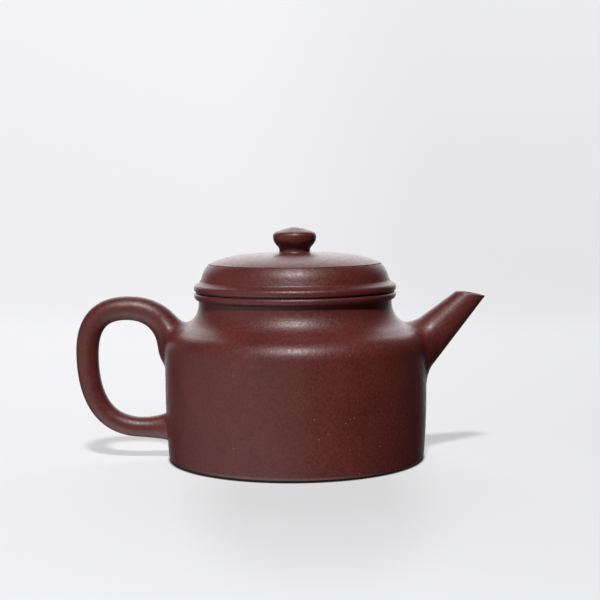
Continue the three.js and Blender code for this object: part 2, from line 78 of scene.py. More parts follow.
# Base slab
# A round slab beaten flat from purple clay, luted under the wall. Its edge is rounded over with a
# wet cloth down to a fine undercut. Below that, and on the underside, the clay is matt and painted
# nearly
# black: painted shade for the contact shadow under the foot. Its middle is pressed up so that the
# pot stands on a ring.
pot_radius = (wall_high.y - wall_low.y) / 2
foot_draw_in = 1 * mm
foot_draw_height = 24 * mm
foot_rounding = 1.6 * mm
foot_turn = 62
foot_undercut = 0.6 * mm
base_top = wall_low.z
rest_ring_width = 6.5 * mm
recess_depth = 1.2 * mm
recess_run = 7 * mm
foot_line_start = 2.2 * mm
steps_round = 240
wheel_radius = 30 * mm
merge_distance = 0.001 * mm
turned_crease = radians(38)


def feed(tree, node, inputs):
    """Gives a node's inputs plain values, or joins them to other nodes."""
    for key, value in inputs.items():
        if isinstance(value, bpy.types.NodeSocket):
            tree.links.new(value, node.inputs[key])
        else:
            node.inputs[key].default_value = value


def add_node(tree, kind, inputs=None, **settings):
    node = tree.nodes.new(kind)
    for key, value in settings.items():
        setattr(node, key, value)
    feed(tree, node, inputs or {})
    return node


def maths(tree, operation, first, second=0):
    return add_node(tree, "ShaderNodeMath", {0: first, 1: second}, operation=operation).outputs[0]


def clay_material(name, colours, gloss, turning_marks):
    """Fired purple clay: fine sand in it, pale and dark grit here and there, and a burnished face.
    Turned pieces also carry the faint rings that the finishing tool leaves as the pot turns."""
    sand_scale = 1150
    cloud_scale = 60
    ring_scale = 1500
    ring_drift = 30
    grit_scale = 700
    grit_size = 0.15
    pale_grit_rarity = 0.972
    dark_grit_rarity = 0.93
    pale_colour = (0.42, 0.22, 0.17)
    dark_colour = (0.03, 0.009, 0.009)
    grain_height = 0.105 * mm
    material = bpy.data.materials.new(name)
    material.use_nodes = True
    tree = material.node_tree

    def noise(vector, scale, detail, roughness):
        return add_node(tree, "ShaderNodeTexNoise", {
            "Vector": vector, "Scale": scale, "Detail": detail, "Roughness": roughness,
        }).outputs["Fac"]

    def grit(channel, rarity):
        rare = maths(tree, "GREATER_THAN", grit_pick.outputs[channel], rarity)
        return maths(tree, "MULTIPLY", near, rare)

    def stained(amount, strength, base, colour):
        return add_node(tree, "ShaderNodeMix", {
            "Factor": maths(tree, "MULTIPLY", amount, strength), "A": base, "B": (*colour, 1),
        }, data_type="RGBA").outputs["Result"]

    place = add_node(tree, "ShaderNodeTexCoord").outputs["Object"]
    spot = add_node(tree, "ShaderNodeMapping", {
        "Vector": place, "Location": (-axis_x, 0, 0)}).outputs["Vector"]
    sand = noise(spot, sand_scale, 1, 0.4)
    cloud = noise(spot, cloud_scale, 3, 0.5)

    split = add_node(tree, "ShaderNodeSeparateXYZ", {"Vector": spot}).outputs
    across = maths(tree, "MULTIPLY", split["X"], split["X"])
    along = maths(tree, "MULTIPLY", split["Y"], split["Y"])
    distance = maths(tree, "SQRT", maths(tree, "ADD", across, along))
    ring_place = add_node(tree, "ShaderNodeCombineXYZ", {
        "X": maths(tree, "MULTIPLY", distance, ring_scale),
        "Y": maths(tree, "MULTIPLY", split["Z"], ring_scale),
        "Z": maths(tree, "MULTIPLY", split["X"], ring_drift),
    }).outputs["Vector"]
    rings = noise(ring_place, 1, 2, 0.5)

    grains = add_node(tree, "ShaderNodeTexVoronoi", {"Vector": spot, "Scale": grit_scale})
    grit_pick = add_node(tree, "ShaderNodeSeparateColor", {"Color": grains.outputs["Color"]})
    near = maths(tree, "LESS_THAN", grains.outputs["Distance"], grit_size)
    pale_grit = grit("Red", pale_grit_rarity)
    dark_grit = grit("Green", dark_grit_rarity)

    sand_half = maths(tree, "MULTIPLY", sand, 0.5)
    cloud_half = maths(tree, "MULTIPLY", cloud, 0.5)
    body = add_node(tree, "ShaderNodeValToRGB", {"Fac": maths(tree, "ADD", sand_half, cloud_half)})
    for element, position, colour in zip(body.color_ramp.elements, (0.32, 0.68), colours):
        element.position = position
        element.color = (*colour, 1)
    with_pale = stained(pale_grit, 0.5, body.outputs["Color"], pale_colour)
    with_dark = stained(dark_grit, 0.35, with_pale, dark_colour)
    shine = add_node(tree, "ShaderNodeMapRange", {
        "Value": sand, "From Min": 0.3, "From Max": 0.7, "To Min": gloss[0], "To Max": gloss[1]})
    height = maths(tree, "ADD", sand, maths(tree, "MULTIPLY", rings, turning_marks))
    height = maths(tree, "ADD", height, maths(tree, "MULTIPLY", pale_grit, 0.4))
    bump = add_node(tree, "ShaderNodeBump", {
        "Strength": 0.6, "Distance": grain_height, "Height": height})
    feed(tree, tree.nodes["Principled BSDF"], {
        "IOR": 1.5, "Base Color": with_dark, "Roughness": shine.outputs["Result"],
        "Normal": bump.outputs["Normal"],
    })
    return material


burnished = ((0.07, 0.0108, 0.0088), (0.109, 0.0188, 0.0157))
satin = (0.4, 0.5)
turned_clay = clay_material("turned_purple_clay", burnished, satin, turning_marks=0.25)


def new_tree(name, inputs):
    """A Geometry Nodes tree, the identifiers that set its named inputs, and their sockets."""
    tree = bpy.data.node_groups.new(name, "GeometryNodeTree")
    identifiers = {}
    for input_name, kind in inputs.items():
        socket = tree.interface.new_socket(
            input_name, in_out="INPUT", socket_type="NodeSocket" + kind)
        identifiers[input_name] = socket.identifier
    tree.interface.new_socket("Geometry", in_out="OUTPUT", socket_type="NodeSocketGeometry")
    return tree, identifiers, add_node(tree, "NodeGroupInput").outputs


def end_tree(tree, geometry, clay):
    """Ends a tree with its instances made real and its material set."""
    real = add_node(tree, "GeometryNodeRealizeInstances", {"Geometry": geometry})
    painted = add_node(tree, "GeometryNodeSetMaterial", {
        "Geometry": real.outputs["Geometry"], "Material": clay})
    add_node(tree, "NodeGroupOutput", {"Geometry": painted.outputs["Geometry"]})


def use_tree(piece, name, tree, identifiers, values):
    """Puts a tree on a piece and sets its named inputs."""
    modifier = piece.modifiers.new(name, "NODES")
    modifier.node_group = tree
    for input_name, value in values.items():
        modifier[identifiers[input_name]] = value


def turning_tree():
    """Sweeps an outline, drawn as distance from the axis and height, round the pot's axis."""
    tree, identifiers, given = new_tree("turned_round_the_axis", {
        "Outline": "Geometry", "Steps Round": "Int", "Wheel Radius": "Float",
        "Axis Offset": "Vector", "Merge Distance": "Float", "Clay": "Material",
    })
    inwards = add_node(tree, "ShaderNodeCombineXYZ", {
        "X": maths(tree, "MULTIPLY", given["Wheel Radius"], -1)})
    upright = add_node(tree, "GeometryNodeTransform", {
        "Geometry": given["Outline"], "Translation": inwards.outputs["Vector"],
        "Rotation": (pi, 0, 0)})
    line = add_node(tree, "GeometryNodeMeshToCurve", {"Mesh": upright.outputs["Geometry"]})
    wheel = add_node(tree, "GeometryNodeCurvePrimitiveCircle", {
        "Resolution": given["Steps Round"], "Radius": given["Wheel Radius"]})
    sweep = add_node(tree, "GeometryNodeCurveToMesh", {
        "Curve": wheel.outputs["Curve"], "Profile Curve": line.outputs["Curve"]})
    weld = add_node(tree, "GeometryNodeMergeByDistance", {
        "Geometry": sweep.outputs["Mesh"], "Distance": given["Merge Distance"]})
    shift = add_node(tree, "GeometryNodeTransform", {
        "Geometry": weld.outputs["Geometry"], "Translation": given["Axis Offset"]})
    smooth = add_node(tree, "GeometryNodeSetShadeSmooth", {"Geometry": shift.outputs["Geometry"]})
    end_tree(tree, smooth.outputs["Geometry"], given["Clay"])
    return tree, identifiers


turning, turning_input = turning_tree()


def to_plain_mesh(piece):
    """Applies the piece's modifiers, turns its faces outwards and keeps only real edges sharp."""
    bpy.context.view_layer.update()
    evaluated = piece.evaluated_get(bpy.context.evaluated_depsgraph_get())
    mesh = bpy.data.meshes.new_from_object(evaluated)
    piece.modifiers.clear()
    work = bmesh.new()
    work.from_mesh(mesh)
    bmesh.ops.recalc_face_normals(work, faces=work.faces)
    work.to_mesh(mesh)
    work.free()
    mesh.shade_smooth()
    mesh.set_sharp_from_angle(angle=turned_crease)
    piece.data = mesh


def belongs(piece, body, node):
    """The piece moves with its body and stands in for its CAD node, which is hidden."""
    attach(piece, body)
    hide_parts(node)


def rounded(outline, closed):
    """Corners that carry a third number are rounded over by that radius."""
    edge_share = 0.48
    points = []
    count = len(outline)
    for i, point in enumerate(outline):
        here = Vector(point[:2])
        if len(point) < 3 or (not closed and i in (0, count - 1)):
            points.append(here)
            continue
        back = Vector(outline[i - 1][:2]) - here
        on = Vector(outline[(i + 1) % count][:2]) - here
        turn = pi - back.angle(on)
        reach = min(point[2] * tan(turn / 2), edge_share * min(back.length, on.length))
        start = here + back.normalized() * reach
        end = here + on.normalized() * reach
        points += bezier([start, here, end], 5)
    return points


def bezier(controls, steps):
    """Points along a Bezier curve through its first and last control points."""
    points = []
    for i in range(steps + 1):
        share = i / steps
        level = list(controls)
        while len(level) > 1:
            level = [a.lerp(b, share) for a, b in zip(level, level[1:])]
        points.append(level[0])
    return points


def arc(centre, radii, first, last, steps):
    """Part of an ellipse, in degrees anticlockwise from outwards, with short first and last
    steps so that its ends meet the next clay piece with no break in the shine."""
    shares = [0, 0.01] + [i / steps for i in range(1, steps)] + [0.99, 1]
    angles = [radians(first + (last - first) * share) for share in shares]
    return [(centre[0] + radii[0] * cos(a), centre[1] + radii[1] * sin(a)) for a in angles]


def turned_piece(name, outline, body, node):
    """One turned piece of clay from its outline."""
    closed = outline[0][0] > 0
    points = rounded(outline, closed)
    count = len(points)
    edges = [(i, i + 1) for i in range(count - 1)]
    if closed:
        edges.append((count - 1, 0))
    mesh = bpy.data.meshes.new(name)
    mesh.from_pydata([(p.x, p.y, 0) for p in points], edges, [])
    piece = add_object(name, mesh)
    use_tree(piece, "turned", turning, turning_input, {
        "Steps Round": steps_round, "Wheel Radius": wheel_radius, "Axis Offset": (axis_x, 0, 0),
        "Merge Distance": merge_distance, "Clay": turned_clay,
    })
    to_plain_mesh(piece)
    belongs(piece, body, node)
    return piece


def foot_radius(z):
    return pot_radius - foot_draw_in * max(0, 1 - z / foot_draw_height) ** 2


rounding_height = foot_undercut + foot_rounding * sin(radians(foot_turn))
foot_ring_outer = foot_radius(rounding_height) - foot_rounding
foot_ring_inner = foot_ring_outer - rest_ring_width


def recess(z):
    start = Vector((foot_ring_inner, z))
    level = Vector((foot_ring_inner - recess_run, z + recess_depth))
    return [tuple(p) for p in bezier([start, level, Vector((0, z + recess_depth))], 14)]


fired_base = turned_piece(
    "fired_base_slab",
    [
        *reversed(recess(0)),
        (foot_ring_outer, 0),
        (foot_ring_outer, foot_undercut),
        *arc(
            (foot_ring_outer, rounding_height), (foot_rounding, foot_rounding), -foot_turn, 0, 10),
        (foot_radius(foot_line_start), foot_line_start),
        (foot_radius(base_top), base_top),
        *recess(base_top),
    ],
    "pot", "base_slab",
)
# Painted shade: these colours are nearly black, standing for the contact shadow under the foot;
# the high roughness is the matt of unburnished clay.
foot_shade_colours = ((0.016, 0.005, 0.005), (0.026, 0.008, 0.008))
matt = (0.85, 0.95)
raw_and_shaded_clay = clay_material("raw_and_painted_shade_clay", foot_shade_colours, matt, turning_marks=0)
fired_base.data.materials.append(raw_and_shaded_clay)
# Painted shade: faces that face down or lie below the undercut take the nearly black clay.
for face in fired_base.data.polygons:
    if face.normal.z < -0.95 or face.center.z < foot_undercut:
        face.material_index = 1

# Body wall
# One strip of clay bent round and joined, standing on the base. It closes in by a millimetre
# towards the foot. Behind the spout a round hole is cut through it.
wall_top = wall_high.z
wall_thickness = 2.8 * mm
inner_radius = pot_radius - wall_thickness
outlet_radius = 3.5 * mm
outlet_drop = 4 * mm
outlet_height = wall_top - outlet_drop
draw_heights = [base_top + (foot_draw_height - base_top) * i / 20 for i in range(21)]
fired_wall = turned_piece(
    "fired_body_wall",
    [
        (inner_radius, base_top),
        *[(foot_radius(z), z) for z in draw_heights],
        *[(pot_radius, foot_draw_height + (wall_top - foot_draw_height) * i / 6)
          for i in range(1, 7)],
        (inner_radius, wall_top),
    ],
    "pot", "body_wall",
)
cutter_mesh = bpy.data.meshes.new("outlet_cutter")
cutter_work = bmesh.new()
bmesh.ops.create_cone(
    cutter_work, cap_ends=True, segments=48, radius1=outlet_radius, radius2=outlet_radius,
    depth=4 * wall_thickness,
    matrix=Matrix.Translation((axis_x + inner_radius, 0, outlet_height))
    @ Matrix.Rotation(pi / 2, 4, "Y"),
)
cutter_work.to_mesh(cutter_mesh)
cutter_work.free()
outlet_cutter = add_object("outlet_cutter", cutter_mesh)
outlet_cut = fired_wall.modifiers.new("outlet", "BOOLEAN")
outlet_cut.operation = "DIFFERENCE"
outlet_cut.solver = "EXACT"
outlet_cut.object = outlet_cutter
to_plain_mesh(fired_wall)
bpy.data.objects.remove(outlet_cutter)

# Shoulder slab
# A ring of clay that closes the wall. Its outer edge is paddled round, and its face rises at a
# gentle slope to the neck.
neck_low, neck_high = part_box("neck_band")
shoulder_rounding = 7 * mm
shoulder_degrees = 61
neck_flare = 8.7 * mm
neck_seam_turn = 40
neck_radius = pot_radius - 11.9 * mm
mouth_radius = neck_radius - 2.7 * mm
neck_seam = neck_low.z
shoulder_turn = radians(shoulder_degrees)
shoulder_slope = pi / 2 - shoulder_turn
rounding_centre = pot_radius - shoulder_rounding
rounding_end = (
    rounding_centre + shoulder_rounding * cos(shoulder_turn),
    wall_top + shoulder_rounding * sin(shoulder_turn),
)
flare_centre = neck_radius + neck_flare
flare_end_radius = flare_centre - neck_flare * cos(shoulder_turn)
flare_end = rounding_end[1] + (rounding_end[0] - flare_end_radius) * tan(shoulder_slope)
flare_top = flare_end + neck_flare * sin(shoulder_turn)
inner_rounding = shoulder_rounding - wall_thickness
inner_end = (
    rounding_centre + inner_rounding * cos(shoulder_turn),
    wall_top + inner_rounding * sin(shoulder_turn),
)
turned_piece(
    "fired_shoulder_slab",
    [
        *arc((rounding_centre, wall_top), (shoulder_rounding, shoulder_rounding),
             0, shoulder_degrees, 36),
        *arc((flare_centre, flare_top), (neck_flare, neck_flare),
             180 + shoulder_degrees, 180 + neck_seam_turn, 14),
        (mouth_radius, neck_seam),
        (mouth_radius, inner_end[1] + (inner_end[0] - mouth_radius) * tan(shoulder_slope), 1 * mm),
        *arc((rounding_centre, wall_top), (inner_rounding, inner_rounding),
             shoulder_degrees, 0, 12),
    ],
    "pot", "shoulder_slab",
)

# Neck band
# A short strip of clay for the neck. Its foot is flared by hand and smoothed into the shoulder,
# so no joint shows.
neck_top = neck_high.z
turned_piece(
    "fired_neck_band",
    [
        (mouth_radius, neck_seam),
        *arc((flare_centre, flare_top), (neck_flare, neck_flare), 180 + neck_seam_turn, 180, 24),
        (neck_radius, neck_top),
        (mouth_radius, neck_top),
    ],
    "pot", "neck_band",
)

# Mouth bead
# A thin roll of clay luted round the mouth and turned to a drip-shaped band. Its flat top is the
# lid's seat.
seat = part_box("mouth_bead")[1].z
bead_stand_out = 1.55 * mm
bead_belly = neck_top + 1.8 * mm
bead_edge = 1.05 * mm
bead_radius = neck_radius + bead_stand_out
turned_piece(
    "fired_mouth_bead",
    [
        (mouth_radius, neck_top),
        *arc((neck_radius, bead_belly), (bead_stand_out, bead_belly - neck_top), -90, 0, 20),
        *arc((bead_radius - bead_edge, bead_belly), (bead_edge, seat - bead_belly), 0, 90, 14)[1:],
        (mouth_radius, seat, 0.4 * mm),
    ],
    "pot", "mouth_bead",
)

# Strainer dome
# A little dome of clay luted inside the wall over the outlet, pricked all over with a needle so
# that it holds back the leaves. Round the middle hole stand rings of six, twelve and eighteen.
strainer_radius = 5.8 * mm
strainer_wall = 1.2 * mm
strainer_hole = 0.55 * mm
strainer_sink = 1 * mm
strainer_rows = 3
strainer_row_turn = radians(20)
strainer_bite = 0.05 * mm
needle_sides = 20


def strainer_tree():
    """A hollow ball, cut off at the inside of the wall and pricked with rings of holes."""
    tree, identifiers, given = new_tree("pricked_clay_dome", {
        "Ball Radius": "Float", "Ball Wall": "Float", "Hole Radius": "Float", "Rows": "Int",
        "Row Turn": "Float", "Place": "Vector", "Pot Radius": "Float", "Pot Height": "Float",
        "Pot Place": "Vector", "Clay": "Material",
    })

    def calc(operation, first, second=0):
        return maths(tree, operation, first, second)

    def ball(radius, segments):
        return add_node(tree, "GeometryNodeMeshUVSphere", {
            "Segments": segments, "Rings": segments // 2, "Radius": radius}).outputs["Mesh"]

    def cut(operation, main, other):
        node = add_node(tree, "GeometryNodeMeshBoolean", operation=operation, solver="EXACT")
        first = "Mesh 1" if operation == "DIFFERENCE" else "Mesh 2"
        tree.links.new(main, node.inputs[first])
        tree.links.new(other, node.inputs["Mesh 2"])
        return node.outputs["Mesh"]

    def moved(geometry, place):
        return add_node(tree, "GeometryNodeTransform", {
            "Geometry": geometry, "Translation": place}).outputs["Geometry"]

    # Row r has 6 r holes, and 3 r (r - 1) + 1 holes come before it.
    number = add_node(tree, "GeometryNodeInputIndex").outputs["Index"]
    reached = calc("SQRT", calc("ADD", calc("MULTIPLY", number, 12), 9))
    rows_reached = calc("DIVIDE", calc("SUBTRACT", reached, 3), 6)
    row = calc("CEIL", calc("SUBTRACT", rows_reached, 0.001))
    before = calc("MULTIPLY", calc("MULTIPLY", row, 3), calc("SUBTRACT", row, 1))
    in_row = calc("SUBTRACT", number, calc("ADD", before, 1))
    offset = calc("MULTIPLY", calc("MODULO", row, 2), 0.5)
    holes_in_row = calc("MAXIMUM", calc("MULTIPLY", row, 6), 1)
    turn = calc("DIVIDE", calc("ADD", in_row, offset), holes_in_row)
    around = calc("MULTIPLY", turn, 2 * pi)
    tilt = calc("MULTIPLY", row, given["Row Turn"])
    heading = add_node(tree, "ShaderNodeCombineXYZ", {
        "X": calc("MULTIPLY", calc("COSINE", tilt), -1),
        "Y": calc("MULTIPLY", calc("SINE", tilt), calc("COSINE", around)),
        "Z": calc("MULTIPLY", calc("SINE", tilt), calc("SINE", around)),
    }).outputs["Vector"]
    outwards = add_node(tree, "ShaderNodeVectorMath", {
        "Vector": heading, "Scale": given["Ball Radius"]}, operation="SCALE")
    rows = given["Rows"]
    last_row = calc("MULTIPLY", calc("MULTIPLY", rows, 3), calc("ADD", rows, 1))
    points = add_node(tree, "GeometryNodePoints", {
        "Count": calc("ADD", last_row, 1), "Position": outwards.outputs["Vector"]})
    facing = add_node(tree, "FunctionNodeAlignRotationToVector", {"Vector": heading}, axis="Z")
    needle = add_node(tree, "GeometryNodeMeshCylinder", {
        "Vertices": needle_sides, "Radius": given["Hole Radius"],
        "Depth": calc("MULTIPLY", given["Ball Wall"], 3)})
    pricks = add_node(tree, "GeometryNodeInstanceOnPoints", {
        "Points": points.outputs["Points"], "Instance": needle.outputs["Mesh"],
        "Rotation": facing.outputs["Rotation"]})
    real_pricks = add_node(tree, "GeometryNodeRealizeInstances", {
        "Geometry": pricks.outputs["Instances"]})

    inner = calc("SUBTRACT", given["Ball Radius"], given["Ball Wall"])
    shell = cut("DIFFERENCE", ball(given["Ball Radius"], 72), ball(inner, 60))
    pricked = cut("DIFFERENCE", shell, real_pricks.outputs["Geometry"])
    inside = add_node(tree, "GeometryNodeMeshCylinder", {
        "Vertices": steps_round, "Radius": given["Pot Radius"], "Depth": given["Pot Height"]})
    dome = cut(
        "INTERSECT", moved(pricked, given["Place"]),
        moved(inside.outputs["Mesh"], given["Pot Place"]))
    end_tree(tree, dome, given["Clay"])
    return tree, identifiers


rolled_clay = clay_material("rolled_purple_clay", burnished, satin, turning_marks=0.08)
pricking, pricking_input = strainer_tree()
strainer = add_object("fired_strainer_dome", bpy.data.meshes.new("fired_strainer_dome"))
use_tree(strainer, "pricked", pricking, pricking_input, {
    "Ball Radius": strainer_radius,
    "Ball Wall": strainer_wall,
    "Hole Radius": strainer_hole,
    "Rows": strainer_rows,
    "Row Turn": strainer_row_turn,
    "Place": (axis_x + inner_radius - strainer_sink, 0, outlet_height),
    "Pot Radius": inner_radius + strainer_bite,
    "Pot Height": 60 * mm,
    "Pot Place": (axis_x, 0, outlet_height),
    "Clay": rolled_clay,
})
to_plain_mesh(strainer)
belongs(strainer, "pot", "strainer_dome")

# Spout
# A short straight tube rolled from a wedge of clay, cut level at the pouring end and bored to the
# outlet. Its root is spread on the wall and shoulder and smoothed until no joint is left.
spout_tip = Vector((pot_radius + 20.75 * mm, 0, seat - 2.05 * mm))
spout_heel = Vector((pot_radius + 10.65 * mm, 0, seat - 0.3 * mm))
spout_root_top = Vector((pot_radius - 7.3 * mm, 0, wall_top + 6 * mm))
spout_root_bottom = Vector((pot_radius - 1.2 * mm, 0, wall_top - 11.25 * mm))
spout_mouth_width = 8.4 * mm
spout_root_width = 16.4 * mm
spout_lip = 1.4 * mm
spout_wall = 2 * mm
spout_bend_share = 0.62
spout_spread_top = 5 * mm
spout_spread_bottom = 2.3 * mm
spout_spread_sides = 2.6 * mm
spout_pull = 0.3
bore_low_run = 0.5 * mm
spout_steps = 96
lip_rounding = 0.6 * mm
bore_lip_rounding = 0.42 * mm
bore_bend_pull = 0.25
bore_inner_run = 0.3 * wall_thickness
spout_heading_step = 0.01
spout_ease = 0.16
spout_buried_share = 0.93
root_sink = 0.008 * mm
root_bury = 0.6 * mm
skin_crease = radians(50)


def pot_radius_at(z):
    """Outer radius of the pot's body at a height."""
    if z < foot_draw_height:
        return foot_radius(z)
    if z < wall_top:
        return pot_radius
    if z < rounding_end[1]:
        return rounding_centre + sqrt(max(0, shoulder_rounding ** 2 - (z - wall_top) ** 2))
    if z < flare_end:
        return rounding_end[0] - (z - rounding_end[1]) / tan(shoulder_slope)
    if z < flare_top:
        return flare_centre - sqrt(neck_flare ** 2 - (flare_top - z) ** 2)
    return neck_radius


def pot_point(side, y, z, lift):
    """A point on the pot's outer face, or lifted off it, by its height and distance sideways."""
    step = 0.01 * mm
    tilt = atan2(pot_radius_at(z - step) - pot_radius_at(z + step), 2 * step)
    radius = pot_radius_at(z) + lift * cos(tilt)
    return Vector((side * sqrt(radius * radius - y * y), y, z + lift * sin(tilt)))


face_line = [(pot_radius_at(neck_top * i / 400), neck_top * i / 400) for i in range(401)]


def off_the_pot(point):
    """How far a point is outside the pot's outer face, negative inside it."""
    radius = hypot(point.x, point.y)
    nearest = min(hypot(r - radius, z - point.z) for r, z in face_line)
    return nearest if radius > pot_radius_at(point.z) else -nearest


def slanted_ring(top, bottom, width):
    """An ellipse through two points of the side view, as a function of the angle round it."""
    middle = (top + bottom) / 2
    up = top - middle
    return lambda angle: middle + up * sin(angle) + Vector((0, width / 2 * cos(angle), 0))


def footprint(side, top, middle, bottom, width):
    """The egg-shaped patch of the pot that a root covers: scale 1 is its edge, 0 its middle."""
    def point(angle, scale, lift):
        rise = top - middle if sin(angle) > 0 else middle - bottom
        y = width / 2 * cos(angle) * scale
        return pot_point(side, y, wall_top + middle + rise * sin(angle) * scale, lift)
    return point


def spread_at(angle, top, bottom, sides):
    """How far off the pot a line of the tube starts to spread."""
    return bottom + (top - bottom) * (1 + sin(angle)) / 2 + sides * cos(angle) ** 2


def leave_at(rail, outside, inside, distance):
    """Where along a rail, from its outside end, it comes that near to the pot."""
    for _ in range(26):
        halfway = (outside + inside) / 2
        if off_the_pot(rail(halfway)) > distance:
            outside = halfway
        else:
            inside = halfway
    return outside


def spread_line(rail, end, before, foot, angle, tube_pull, pot_pull, steps):
    """One line of the smeared root, from the tube's rail to the edge of the footprint."""
    start = rail(end)
    along = (start - rail(before)).normalized()
    edge = foot(angle, 1, -root_sink)
    span = (edge - start).length
    return bezier([
        start, start + along * tube_pull * span, foot(angle, 1 - pot_pull, 0),
        foot(angle, 1 - pot_pull / 2, 0), edge], steps)


def skinned_piece(name, rings, clay, body, node, joined):
    """A piece skinned over rings of points. Its ends are joined to each other or closed over."""
    work = bmesh.new()
    rows = [[work.verts.new(p + Vector((axis_x, 0, 0))) for p in ring] for ring in rings]
    pairs = list(zip(rows, rows[1:]))
    if joined:
        pairs.append((rows[-1], rows[0]))
    for near, far in pairs:
        for i in range(len(near)):
            j = (i + 1) % len(near)
            work.faces.new((near[i], near[j], far[j], far[i]))
    if not joined:
        for row in (rows[0], rows[-1]):
            middle = work.verts.new(sum((v.co for v in row), Vector()) / len(row))
            for i in range(len(row)):
                work.faces.new((row[i], row[(i + 1) % len(row)], middle))
    bmesh.ops.recalc_face_normals(work, faces=work.faces)
    mesh = bpy.data.meshes.new(name)
    work.to_mesh(mesh)
    work.free()
    mesh.materials.append(clay)
    mesh.shade_smooth()
    mesh.set_sharp_from_angle(angle=skin_crease)
    belongs(add_object(name, mesh), body, node)


def shortened(near, far, by):
    return near.lerp(far, by / (far - near).length)


mouth_ring = slanted_ring(spout_heel, spout_tip, spout_mouth_width)
root_ring = slanted_ring(spout_root_top, spout_root_bottom, spout_root_width)
spout_foot = footprint(1, 9.2 * mm, -1.6 * mm, -16 * mm, 27 * mm)
bore_mouth = slanted_ring(
    shortened(spout_heel, spout_tip, spout_lip), shortened(spout_tip, spout_heel, spout_lip),
    spout_mouth_width - 2 * spout_lip)
bend_top = spout_heel.lerp(spout_root_top, spout_bend_share)
bend_bottom = spout_tip.lerp(spout_root_bottom, spout_bend_share)
bend_width = spout_mouth_width + (spout_root_width - spout_mouth_width) * spout_bend_share
bore_bend = slanted_ring(
    shortened(bend_top, bend_bottom, spout_wall), shortened(bend_bottom, bend_top, spout_wall),
    bend_width - 2 * spout_wall)
spout_lines = []
for step in range(spout_steps):
    angle = 2 * pi * step / spout_steps
    tube_start = mouth_ring(angle)
    tube_end = root_ring(angle)
    rail = lambda share, a=tube_start, b=tube_end: a.lerp(b, share)
    up_share = (1 + sin(angle)) / 2
    end = leave_at(rail, 0, 1, spread_at(
        angle, spout_spread_top, spout_spread_bottom, spout_spread_sides))
    down = lip_rounding / (tube_end - tube_start).length
    lip_inner = bore_mouth(angle)
    lip_in = shortened(tube_start, lip_inner, lip_rounding)
    bore_in = shortened(lip_inner, tube_start, bore_lip_rounding)
    bend = bore_bend(angle)
    bore_down = shortened(lip_inner, bend, bore_lip_rounding)
    root = spread_line(
        rail, end, end - spout_heading_step, spout_foot, angle,
        spout_pull, spout_pull - spout_ease * up_share ** 2, 26)
    bore_end = pot_point(
        1, outlet_radius * cos(angle), outlet_height + outlet_radius * sin(angle), 0)
    bore_run = bore_low_run + (outlet_radius - bore_low_run) * up_share
    square = bore_end + Vector((bore_run, 0, 0))
    bore = bezier([bend, bend.lerp(lip_inner, -bore_bend_pull), square, bore_end], 14)
    spout_lines.append([
        *bezier([lip_in, tube_start, rail(down)], 5),
        *[rail(down + (end - down) * i / 20) for i in range(1, 20)],
        *root,
        spout_foot(angle, spout_buried_share, -root_bury),
        bore_end - Vector((bore_inner_run, 0, 0)),
        *reversed(bore),
        *[bend.lerp(bore_down, i / 6) for i in range(1, 6)],
        *bezier([bore_down, lip_inner, bore_in], 4),
    ])
spout_rings = [list(ring) for ring in zip(*spout_lines)]
skinned_piece("fired_spout", spout_rings, rolled_clay, "pot", "spout", True)

# Handle
# One tapered roll of clay bent into a ring like an ear. Its thick end is spread on the shoulder
# and wall, and its thin end is set level on the wall near the foot.
handle_root = Vector((pot_radius - 3.5 * mm, wall_top - 2.6 * mm))
handle_root_turn = radians(86)
handle_root_pull = 11.5 * mm
handle_top = Vector((pot_radius + 13.1 * mm, wall_top + 14.1 * mm))
handle_top_pull = 9 * mm
handle_side = Vector((pot_radius + 27.08 * mm, wall_top - 2.1 * mm))
handle_crown_pull = 10.2 * mm
handle_side_pull = 9.6 * mm
handle_bottom = Vector((pot_radius + 7.7 * mm, wall_top - 27.55 * mm))
handle_bottom_pull = 17.2 * mm
handle_end = Vector((pot_radius - 3.3 * mm, handle_bottom.y))
handle_root_thickness = 12.2 * mm
handle_top_thickness = 8.3 * mm
handle_end_thickness = 6.7 * mm
handle_root_power = 1.55
handle_width_ratio = 1.1
handle_spread_top = 5.6 * mm
handle_spread_bottom = 2.6 * mm
handle_spread_sides = 2.6 * mm
handle_spread_end = 10.5 * mm
handle_tube_pull = 0.55
handle_pot_pull = 0.15
handle_pull_ease = 0.2
handle_end_tube_pull = 0.5
handle_end_pot_pull = 0.12
handle_heading_step = 0.002
handle_buried_share = 0.9
handle_steps = 72
level = Vector((1, 0))
upright = Vector((0, 1))
handle_curves = [
    [handle_root,
     handle_root + handle_root_pull * Vector((cos(handle_root_turn), sin(handle_root_turn))),
     handle_top - handle_top_pull * level, handle_top],
    [handle_top, handle_top + handle_crown_pull * level,
     handle_side + handle_crown_pull * upright, handle_side],
    [handle_side, handle_side - handle_side_pull * upright,
     handle_bottom + handle_bottom_pull * level, handle_bottom],
    [handle_bottom, handle_end],
]
handle_line = [handle_root]
handle_parts = []
for controls in handle_curves:
    handle_line += bezier(controls, 240)[1:]
    handle_parts.append(len(handle_line) - 1)
handle_lengths = [0]
for near, far in zip(handle_line, handle_line[1:]):
    handle_lengths.append(handle_lengths[-1] + (far - near).length)
handle_top_share = handle_lengths[handle_parts[0]] / handle_lengths[-1]


def handle_centre(share):
    """The bar's centre and heading in the side view at a share of its length."""
    length = min(max(share, 0), 1) * handle_lengths[-1]
    i = min(max(bisect_left(handle_lengths, length), 1), len(handle_line) - 1)
    near, far = handle_lengths[i - 1], handle_lengths[i]
    centre = handle_line[i - 1].lerp(handle_line[i], (length - near) / (far - near))
    wide = (max(i - 3, 0), min(i + 2, len(handle_line) - 1))
    return centre, (handle_line[wide[1]] - handle_line[wide[0]]).normalized()


